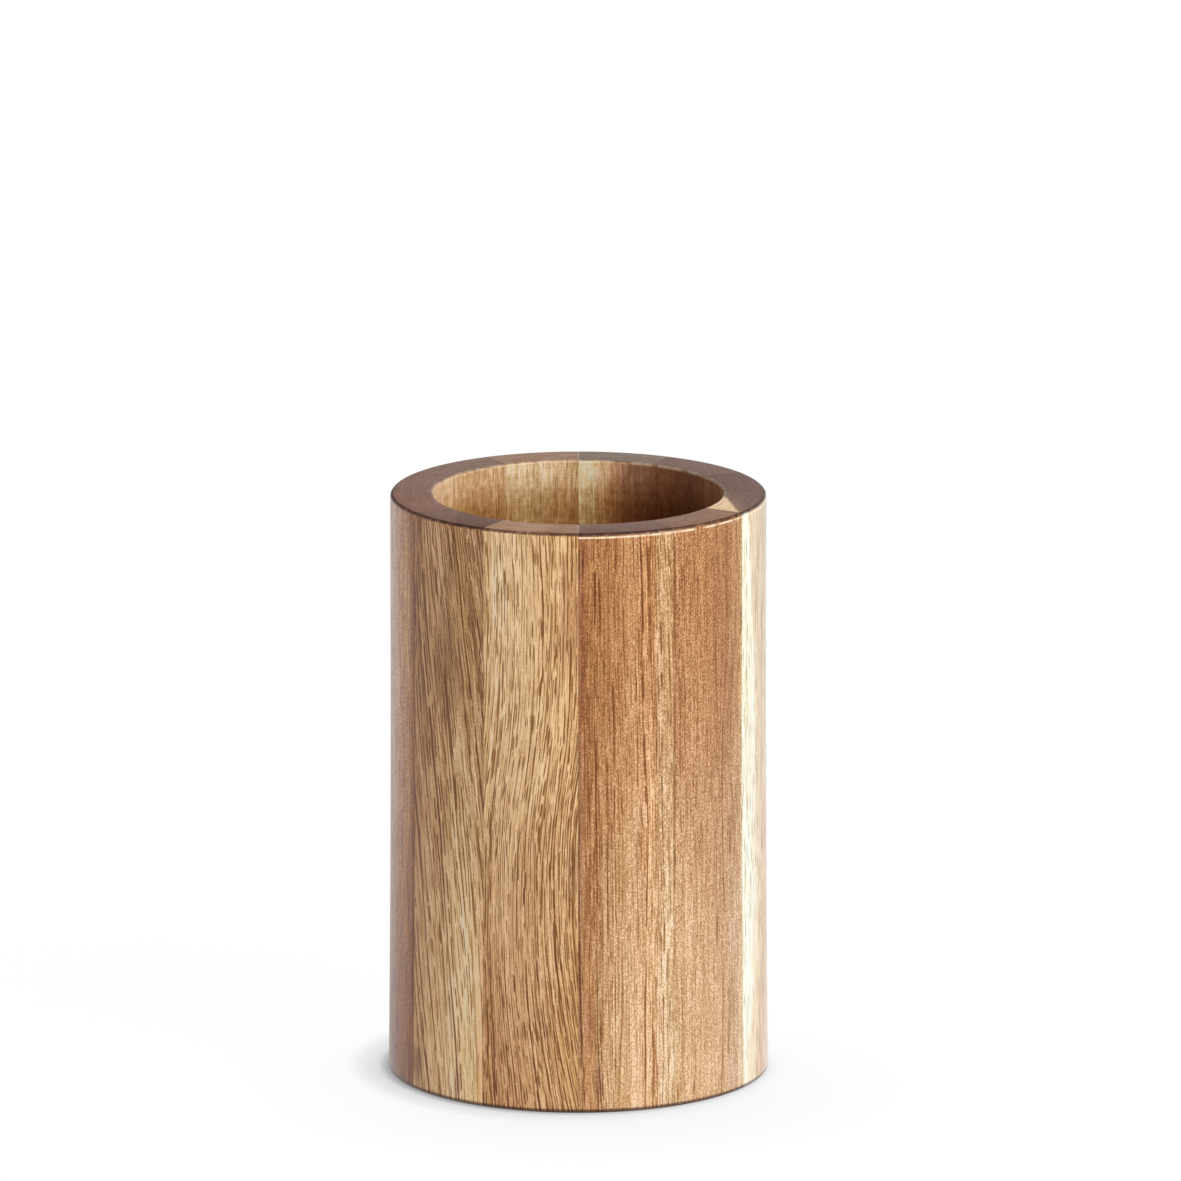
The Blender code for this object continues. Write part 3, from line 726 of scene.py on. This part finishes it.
# One entry for each stave, from the joint at the front round to the right.
# tones, end, bore: (across, tone) on the side, on the end grain and in the bore
# foot: (across, tone) near the foot, how much of it, and the share of the height at which it is gone
# depth: how deep the figure is at the foot and at the rim
# lean, drift: (up, across) of the fibres at the left and right edge, and of the growth rings
# patches: across, up, reach across, reach up, tone, strength
# veins: across, low, high, half width, strength; a strength below 0 is a light line
# figure: what differs from the group's own values, which are those of the staves at the back
BOARDS = (
    {
        "wood": "red_brown_heartwood",
        "seed": 1.7,
        "ring_turn": 35,
        "tones": (
            (-9, "A06A45"), (-7, "AA7646"), (-3, "AF7B4C"), (2, "BC8B5D"), (4.5, "C28C5C"), (6, "BF966B"),
            (9, "C09665"),
        ),
        "end": ((-5, "664739"), (4, "694A3D")),
        "depth": (0.8, 1.05),
        "foot": (
            (
                (-9, "BA936B"), (-7, "C8986B"), (-5.2, "C19A70"), (-3.4, "D4AF84"), (-1.2, "CFAC80"),
                (2.2, "DDB891"), (5.2, "E6C098"), (7, "E8CDAC"), (8.8, "E4CAA8"),
            ),
            0.85, 0.9,
        ),
        "waver": 0.25,
        "lean": (((0, 1.5), (30, 0.3), (60, 0), (110, 0)), ((0, 1.2), (60, 1.3), (85, 0.7), (110, 0))),
        "patches": (
            (-7.2, 17, 1.0, 6, "8A5236", 0.5), (-5.6, 6, 1.3, 4, "8A5236", 0.45),
            (4.1, 50, 1.7, 20, "E8C196", 0.4), (3.9, 80, 1.7, 8, "A87449", 0.45),
            (7.6, 34, 1.8, 22, "D8B486", 0.2),
        ),
        "veins": (
            (-8.5, 96, 108, 0.22, 0.9), (-8.1, 50, 99, 0.6, 0.3), (-7.2, 30, 84, 0.17, 0.6),
            (-8.85, 0.5, 56, 0.16, 1.3), (-6.1, 44, 72, 0.22, 0.8), (-5.4, 90, 103, 0.2, 1.0),
            (-4.0, 31, 69, 0.18, 0.75), (2.3, 44, 60, 0.17, 0.5), (2.4, 102, 109, 0.2, 0.6),
            (4.0, 84, 109, 0.32, 0.8), (5.3, 66, 88, 0.2, 0.7), (5.7, 36, 58, 0.2, 0.25),
            (5.1, 0, 27, 0.24, 0.7), (-4.9, 12, 19, 0.2, 0.9), (7.6, 18, 31, 0.16, 0.6),
        ),
        "figure": {
            "Streak": 0.09, "Fibre": 0.14, "Fleck": 0.28, "Cloud": 0.04, "Pore Size": 0.24,
            "Pore Length": 6, "Lines": 0.95, "Edge Light": 0.95,
        },
    },
    {
        "wood": "russet_heartwood",
        "seed": 4.1,
        "ring_turn": 50,
        "tones": (
            (-9, "B48156"), (-3, "AB784A"), (3, "A37045"), (7, "AD8053"), (8.3, "CAA874"), (9, "CAA874"),
        ),
        "end": ((-9, "785643"), (0, "805E48"), (5, "846049")),
        "depth": (0.72, 1.25),
        "foot": (
            ((-9, "D2B188"), (-4, "D1AE86"), (2, "D5B28B"), (6.5, "CCAD8F"), (9, "DAC09E")),
            0.85, 0.9,
        ),
        "waver": 0.3,
        "veins": (
            (-8.95, 40, 109, 0.22, 0.55), (-6.6, 20, 104, 0.15, -0.18), (-5.2, 30, 96, 0.15, -0.22),
            (-3.6, 12, 90, 0.15, -0.2), (0.9, 28, 36, 0.25, 0.6), (-8.0, 0, 5, 0.25, 0.6),
            (4.9, 44, 84, 0.4, 0.25), (4.7, 6, 22, 0.2, 0.4), (-4.4, 1, 5, 0.22, 0.9),
        ),
        "figure": {
            "Streak": 0.1, "Fibre": 0.13, "Fleck": 0.32, "Cloud": 0.04, "Pore Size": 0.24, "Pore Length": 4,
            "Pore Shade": 0.45, "Bands": 0.08, "Lines": 0.4, "Edge Light": 0.95,
        },
    },
    {
        "wood": "sap_edged_wood",
        "seed": 8.3,
        "ring_turn": 64,
        "tones": ((-9, "F0ECD6"), (-7.8, "F0ECD6"), (-6.8, "CDB493"), (0, "C8AE8E"), (9, "B09A80")),
        "end": ((-8, "E5C499"), (-5, "E5C499"), (-3.3, "755644"), (3, "634537"), (9, "5E4436")),
        "bore": ((-7, "E6CDA4"), (-4.5, "DABB90"), (-2.5, "B48C66"), (7, "9C7553")),
        "foot": (((-9, "FFFFEE"), (-6, "F9E7C4"), (-3, "CFA982"), (9, "EEDFCA")), 0.5, 0.9),
        "drift": ((0, 0.6), (50, 5.0), (110, 0)),
        "figure": {
            "Streak": 0.12, "Fibre": 0.2, "Fleck": 0.08, "Cloud": 0.04, "Pore Size": 0.26, "Pore Length": 6,
            "Pore Shade": 0.75, "Bands": 0, "Lines": 0, "Edge Light": 0.6, "Oil Film": 0.75,
        },
    },
    {
        "wood": "walnut_brown_heartwood",
        "seed": 12.9,
        "ring_turn": 60,
        "tones": ((-9, "86582F"), (0, "946039"), (9, "9C6A42")),
        "end": ((0, "5C4034"),),
        # The bore tones are darker than the side: partly the wood's own tone, partly painted shade on a bore
        # wall that faces away from the key lamp
        "bore": ((-7, "8A6148"), (4.2, "875D43")),
        "foot": (((0, "AC7E50"),), 0.4, 0.75),
        "lean": (STRAIGHT, ((0, 4), (110, 0))),
    },
    {
        "wood": "golden_heartwood",
        "seed": 16.2,
        "ring_turn": -65,
        "tones": ((-9, "B98650"), (0, "C08E58"), (9, "C99E68")),
        "end": ((0, "6B4F44"),),
        # The bore tones are darker than the side: partly the wood's own tone, partly painted shade on a bore
        # wall that faces away from the key lamp
        "bore": ((-6.5, "7F5339"), (-3.3, "764B35"), (0, "7E503A"), (3.3, "865639")),
        "foot": (((0, "D2AC78"),), 0.4, 0.75),
        "lean": (((0, -3), (110, 0)), ((0, 2), (110, 0))),
    },
    {
        "wood": "straw_heartwood",
        "seed": 21.4,
        "ring_turn": 15,
        "tones": ((-9, "9A6234"), (-2, "B07A46"), (3, "D8AC74"), (9, "E6BE88")),
        "end": ((0, "766353"),),
        "bore": ((-7, "8E6244"), (-2.8, "9F7052"), (0, "C4946A"), (2.8, "E6C094"), (4.6, "FFEDC4")),
        "foot": (((0, "DCBC8A"),), 0.4, 0.75),
        "lean": (STRAIGHT, ((0, -3), (60, -2), (110, 0))),
    },
    {
        "wood": "amber_heartwood",
        "seed": 25.8,
        "ring_turn": 62,
        "tones": ((-9, "D09E64"), (0, "C48F55"), (9, "C59258")),
        "end": ((0, "92725A"),),
        "bore": ((-6.5, "D2AC7D"), (-3.8, "E2BE94"), (0, "E6CBA3")),
        "foot": (((0, "D0A268"),), 0.4, 0.75),
        "lean": (((0, 5), (110, 0)), ((0, 7), (110, 0))),
    },
    {
        "wood": "chestnut_heartwood",
        "seed": 30.1,
        "ring_turn": -40,
        "tones": ((-9, "A87240"), (0, "9C643A"), (9, "B07C4A")),
        "end": ((0, "795D4D"),),
        "bore": ((-7, "D4AD80"), (0, "CAA174"), (7, "D8B286")),
        "foot": (((0, "B88A58"),), 0.4, 0.75),
    },
    {
        "wood": "honey_heartwood",
        "seed": 34.6,
        "ring_turn": 10,
        "tones": ((-9, "CC9E64"), (0, "D4A870"), (9, "C4935A")),
        "end": ((0, "775648"),),
        "bore": ((-5.2, "ECC89F"), (-2.4, "E1BD96")),
        "foot": (((0, "D6AE7A"),), 0.4, 0.75),
        "lean": (((0, -4), (50, -3), (110, 0)), STRAIGHT),
    },
    {
        "wood": "plum_brown_heartwood",
        "seed": 39.3,
        "ring_turn": 20,
        "tones": (
            (-9, "AC8570"), (-3, "B9957C"), (3, "BC8D67"), (6.5, "B7865B"), (8, "9C6843"), (9, "96613F"),
        ),
        "end": ((0, "764F3E"),),
        "foot": (((-9, "7A4A33"), (0, "875232"), (6.5, "8E5A36"), (9, "884F2C")), 0.9, 0.75),
        "veins": ((8.95, 0, 109, 0.25, 0.45),),
        "figure": {
            "Streak": 0.1, "Fibre": 0.28, "Fleck": 0.32, "Cloud": 0.05, "Pore Size": 0.24, "Pore Length": 5,
            "Pore Shade": 0.45, "Bands": 0.1, "Lines": 0.25, "Edge Light": 0,
        },
    },
    {
        "wood": "slant_grained_heartwood",
        "seed": 43.9,
        "ring_turn": -43,
        "tones": ((-9, "B18458"), (-3, "C5986D"), (3, "C69C6E"), (9, "BD9166")),
        "end": ((-9, "6B4B3A"), (-1.5, "6B4B3A"), (0, "563423"), (9, "563423")),
        "depth": (0.85, 1.75),
        "foot": (
            ((-9, "D1A978"), (-2, "DDB789"), (3.5, "FEE4BA"), (6, "FFE7B8"), (9, "FDD4A2")),
            0.9, 0.75,
        ),
        "lean": (((0, 9), (110, 0)), ((0, 12.5), (60, 7.5), (110, 0))),
        "waver": 0.3,
        "patches": (
            (7.0, 40, 2.2, 45, "E4C096", 0.45), (-8.0, 5, 1.5, 4, "8A6040", 0.8),
            (3.5, 4, 1.2, 5, "A4664A", 0.6), (1.0, 84, 4.0, 14, "8E6642", 0.6),
            (1.5, 101, 2.4, 7, "946A44", 0.5),
        ),
        "veins": ((6.4, 28, 54, 0.26, 0.8), (8.7, 50, 104, 0.35, 0.4)),
        "figure": {
            "Streak": 0.1, "Fibre": 0.1, "Fleck": 0.08, "Cloud": 0.05, "Pore Length": 7, "Bands": 0.15,
            "Lines": 1.5, "Edge Light": 0,
        },
    },
    {
        "wood": "pale_golden_heartwood",
        "seed": 47.5,
        "ring_turn": 15,
        "tones": ((-9, "E3BC8C"), (-5, "E9C598"), (0, "DEB98A"), (9, "DAB07E")),
        "end": ((-6, "9A7557"), (0, "A27C5F"), (5.5, "906C52")),
        "depth": (1.2, 0.88),
        "foot": (((-9, "B98351"), (-4, "BE8B5C"), (3, "C79B6D"), (9, "C59A67")), 0.8, 0.75),
        "lean": (((0, -1.5), (45, -3), (80, 0), (110, 0)), ((0, 1.5), (45, -3), (80, 0), (110, 0))),
        "waver": 0.3,
        "patches": (
            (-6.2, 100, 1.9, 10, "F4DCB4", 0.85), (7.8, 46, 1.6, 6, "A87C58", 0.6),
            (7.2, 95, 2.0, 14, "B4835A", 0.55),
        ),
        "veins": ((8.6, 20, 60, 0.26, 0.6), (-8.7, 8, 104, 0.3, -0.25), (8.8, 60, 108, 0.22, -0.2)),
        "figure": {
            "Streak": 0.1, "Fibre": 0.1, "Fleck": 0.08, "Cloud": 0.05, "Pore Length": 6, "Pore Shade": 1.15,
            "Fine Pores": 0.6, "Bands": 0.12, "Lines": 1.6, "Edge Light": 0,
        },
    },
)

turned_wall = turned_wall_tree()
section = section_object("stave_section", wall_section())
# The section stands at +X, and the staves are counted from the joint that faces -Y
FRONT = -math.pi / 2
JOINT_ANGLE = JOINT_WIDTH / FOOT_RADIUS
for index, board in enumerate(BOARDS):
    number = index + 1
    middle = (index + 0.5) * PITCH
    wood = acacia(f"oiled_acacia_{board['wood']}", middle, board)
    stave = sweep(
        f"turned_stave_{number:02d}",
        section,
        turned_wall,
        FRONT + index * PITCH + JOINT_ANGLE / 2,
        PITCH - JOINT_ANGLE,
        ARC_STEPS,
        wood,
    )
    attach(stave, "root")
    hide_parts(f"stave_{number:02d}")
bpy.data.objects.remove(section)

# The glue lines
# Twelve films of wood glue in the joints. Cured glue is amber, harder than the wood and a hair below
# its sanded surface, so that a joint shows as a very thin line.

GLUE_INSET = 0.05 * MM
GLUE_STEPS = 2
DUST_SIZE = 2.5 * MM

glue = bpy.data.materials.new("cured_amber_wood_glue")
glue.use_nodes = True
tree = glue.node_tree
shader = tree.nodes["Principled BSDF"]
shader.inputs["Roughness"].default_value = 0.35
shader.inputs["IOR"].default_value = 1.47
# Sanding dust caught in the glue mottles it along the joint
place = add(tree, "TexCoord").outputs["Object"]
dust = add(tree, "TexNoise", {"Vector": place, "Scale": 1 / DUST_SIZE, "Detail": 2.0})
tint = add(tree, "ValToRGB", (dust,))
tint.color_ramp.elements[0].position = 0.35
tint.color_ramp.elements[0].color = linear("5A3A22")
tint.color_ramp.elements[1].position = 0.65
tint.color_ramp.elements[1].color = linear("9A6E42")
tree.links.new(tint.outputs["Color"], shader.inputs["Base Color"])

glue_section = section_object("glue_section", wall_section(GLUE_INSET))
for index in range(STAVE_COUNT):
    number = index + 1
    line = sweep(
        f"glue_line_{number:02d}",
        glue_section,
        turned_wall,
        FRONT + index * PITCH - JOINT_ANGLE / 2,
        JOINT_ANGLE,
        GLUE_STEPS,
        glue,
    )
    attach(line, "root")
bpy.data.objects.remove(glue_section)

# The base board
# A round acacia board, turned flat on both faces, eased at its edges and glued up into the seat in
# the staves. Its underside keeps the faint rings of the facing cut.

BOARD_LOW = 1.0 * MM
BOARD_HIGH = 8.0 * MM
BOARD_RADIUS = 28.9 * MM
BOARD_EASE = 0.4 * MM
FACING_PITCH = 1.5 * MM
FACING_DEPTH = 0.04 * MM
FACING_POINTS = 6
BOARD_STEPS = 288


def board_section():
    """Half the board's section, from the middle of its underside round its edge to the middle of its top."""
    reach = BOARD_RADIUS - BOARD_EASE
    points = []
    count = int(reach / FACING_PITCH * FACING_POINTS)
    for i in range(count):
        r = reach * i / count
        cut = 0.5 - 0.5 * math.cos(math.tau * r / FACING_PITCH)
        points.append((r, BOARD_LOW + FACING_DEPTH * cut))
    points += quarter(reach, BOARD_LOW + BOARD_EASE, BOARD_EASE, -90)
    points += quarter(reach, BOARD_HIGH - BOARD_EASE, BOARD_EASE, 0)
    points.append((0, BOARD_HIGH))
    return points


BASE_GRAIN = {
    "seed": 52.7,
    "ring_turn": 78,
    "tones": ((-9, "A8743E"), (-4, "BC8A52"), (3, "AC7A44"), (9, "C4965E")),
    "end": ((0, "B88850"),),
    "foot": (((0, "B88850"),), 0.0, 0.75),
    "figure": {"Fibre": 0.25, "Cloud": 0.08, "Pore Shade": 0.7, "Bands": 0, "Lines": 0, "Edge Light": 0},
}
base_section = section_object("base_section", board_section())
base = sweep(
    "turned_base_board",
    base_section,
    turned_wall,
    FRONT,
    math.tau,
    BOARD_STEPS,
    acacia("oiled_acacia_base_board", 0.0, BASE_GRAIN),
    closed=False,
)
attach(base, "root")
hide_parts("base_disc")
bpy.data.objects.remove(base_section)

# The studio
# A white sweep and soft lamps from the right and from above, as for a catalogue picture.

FLOOR_SIZE = 12.0
# What the camera sees of paper that has no shadow on it, and how much of the sky's light falls on things
PAPER_GLOW = 0.985
SKY_SHARE = 0.13
bpy.ops.mesh.primitive_plane_add(size=FLOOR_SIZE, location=(0, 0, 0))
floor = bpy.context.object
floor.name = "studio_floor"
paper = bpy.data.materials.new("white_paper_sweep")
paper.use_nodes = True
tree = paper.node_tree
shader = tree.nodes["Principled BSDF"]
shader.inputs["Base Color"].default_value = linear("E7E7E7")
shader.inputs["Roughness"].default_value = 0.9
shader.inputs["Specular IOR Level"].default_value = 0.0
# The camera sees the paper blown out to white, with the shadow only where the cup is close to it.
# Each row says how far off the cup still shades it, where it is looked for and how much light it takes
path = add(tree, "LightPath").outputs
strength = PAPER_GLOW
for distance, towards, share in (
    (2 * MM, (0.6, 0.5, 0.62), 0.42),
    (8 * MM, (0.75, 0.05, 0.66), 0.42),
    (40 * MM, (-0.1, 0.85, 0.52), 0.16),
):
    lean = add(tree, "CombineXYZ", {"X": towards[0], "Y": towards[1], "Z": towards[2]})
    near = add(tree, "AmbientOcclusion", {"Distance": distance, "Normal": lean}, samples=2)
    kept = add(tree, "Math", (near.outputs["AO"], share, strength), "MULTIPLY_ADD")
    strength = add(tree, "Math", (kept, share), "SUBTRACT")
glow = add(tree, "Emission", {"Color": (1, 1, 1, 1), "Strength": strength})
grey = add(tree, "BsdfDiffuse", {"Color": linear("303030")})
seen = add(tree, "AddShader", (grey, glow))
mirrored = add(tree, "Math", (path["Is Glossy Ray"], path["Is Transmission Ray"]), "MAXIMUM")
white = add(tree, "Emission", {"Color": (1, 1, 1, 1), "Strength": 1.0})
both = add(tree, "MixShader", (mirrored, shader, white))
both = add(tree, "MixShader", (path["Is Camera Ray"], both, seen))
tree.links.new(both.outputs[0], tree.nodes["Material Output"].inputs["Surface"])
floor.data.materials.append(paper)

world = bpy.data.worlds.new("white_studio")
bpy.context.scene.world = world
world.use_nodes = True
tree = world.node_tree
path = add(tree, "LightPath").outputs
seen = add(tree, "Math", (path["Is Camera Ray"], path["Is Glossy Ray"]), "MAXIMUM")
seen = add(tree, "Math", (seen, path["Is Transmission Ray"]), "MAXIMUM")
strength = add(tree, "MapRange", {"Value": seen, "To Min": SKY_SHARE, "To Max": 1.0})
tree.links.new(strength.outputs[0], tree.nodes["Background"].inputs["Strength"])
tree.nodes["Background"].inputs["Color"].default_value = (1, 1, 1, 1)


def softbox(name, azimuth, elevation, distance, size, power):
    """A square lamp that looks at the cup, from azimuth degrees round to the right of the front."""
    lamp = bpy.data.lights.new(name, "AREA")
    lamp.size = size
    lamp.energy = power
    obj = bpy.data.objects.new(name, lamp)
    across, up = math.radians(azimuth), math.radians(elevation)
    towards = Vector((math.sin(across) * math.cos(up), -math.cos(across) * math.cos(up), math.sin(up)))
    obj.location = ORBIT_CENTRE + towards * distance
    obj.rotation_euler = towards.to_track_quat("Z", "Y").to_euler()
    bpy.context.scene.collection.objects.link(obj)


softbox("key_softbox", 52, 41, 1.2, 0.75, 16.5)
softbox("fill_softbox", -45, 8, 1.2, 0.5, 4.5)
softbox("back_softbox", 172, 12, 1.2, 0.6, 4.0)

bpy.context.scene.view_settings.view_transform = "Standard"
